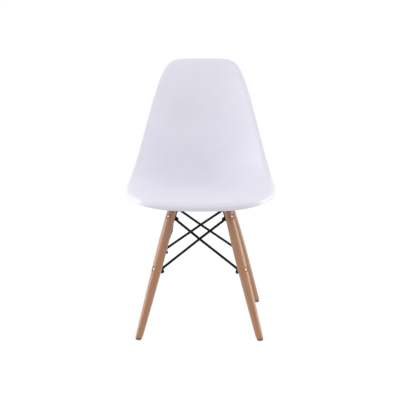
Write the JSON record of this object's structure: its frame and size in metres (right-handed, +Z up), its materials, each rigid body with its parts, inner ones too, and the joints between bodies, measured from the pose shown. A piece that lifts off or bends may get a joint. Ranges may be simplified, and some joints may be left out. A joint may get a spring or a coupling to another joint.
{
  "type": "dining chair",
  "caption": "Armless dining chair: one-piece moulded shell seat and back on splayed dowel legs braced by crossed wires.",
  "frame": {"origin": "on the floor, under the middle of the chair's outer box", "axes": "+Z up; the sitter faces -Y, so -Y is the front; +X is to the right as the chair is seen from the front, and the names left and right are as seen from the front"},
  "size_m": [0.469, 0.5036, 0.8157],
  "materials": {
    "shell_plastic": "cool white moulded polypropylene, satin, with a fine leathery grain",
    "beech": "clear satin lacquer on turned beech, grain along the leg",
    "black_steel": "satin black powder coat",
    "zinc_steel": "bright zinc plated",
    "rubber": "matt black moulded rubber",
    "brass": "plain turned",
    "glide_plastic": "matt brown moulded plastic"
  },
  "bodies": {
    "root": {"seat_shell": "shell_plastic", "leg_front_left": "beech", "foot_glide_front_left": "glide_plastic", "thread_insert_front_left": "brass", "shock_mount_front_left": "rubber", "shell_screw_front_left": "zinc_steel", "leg_bolt_lower_front_left": "zinc_steel", "washer_lower_front_left": "black_steel", "nut_lower_front_left": "black_steel", "leg_bolt_upper_front_left": "zinc_steel", "washer_upper_front_left": "black_steel", "nut_upper_front_left": "black_steel", "leg_front_right": "beech", "foot_glide_front_right": "glide_plastic", "thread_insert_front_right": "brass", "shock_mount_front_right": "rubber", "shell_screw_front_right": "zinc_steel", "leg_bolt_lower_front_right": "zinc_steel", "washer_lower_front_right": "black_steel", "nut_lower_front_right": "black_steel", "leg_bolt_upper_front_right": "zinc_steel", "washer_upper_front_right": "black_steel", "nut_upper_front_right": "black_steel", "leg_rear_right": "beech", "foot_glide_rear_right": "glide_plastic", "thread_insert_rear_right": "brass", "shock_mount_rear_right": "rubber", "shell_screw_rear_right": "zinc_steel", "leg_bolt_lower_rear_right": "zinc_steel", "washer_lower_rear_right": "black_steel", "nut_lower_rear_right": "black_steel", "leg_bolt_upper_rear_right": "zinc_steel", "washer_upper_rear_right": "black_steel", "nut_upper_rear_right": "black_steel", "leg_rear_left": "beech", "foot_glide_rear_left": "glide_plastic", "thread_insert_rear_left": "brass", "shock_mount_rear_left": "rubber", "shell_screw_rear_left": "zinc_steel", "leg_bolt_lower_rear_left": "zinc_steel", "washer_lower_rear_left": "black_steel", "nut_lower_rear_left": "black_steel", "leg_bolt_upper_rear_left": "zinc_steel", "washer_upper_rear_left": "black_steel", "nut_upper_rear_left": "black_steel", "brace_front_outer": "black_steel", "brace_front_inner": "black_steel", "brace_right_outer": "black_steel", "brace_right_inner": "black_steel", "brace_rear_outer": "black_steel", "brace_rear_inner": "black_steel", "brace_left_outer": "black_steel", "brace_left_inner": "black_steel", "side_rail_left": "black_steel", "side_rail_right": "black_steel", "cross_bar_front": "black_steel", "cross_bar_rear": "black_steel"}
  },
  "joints": []
}
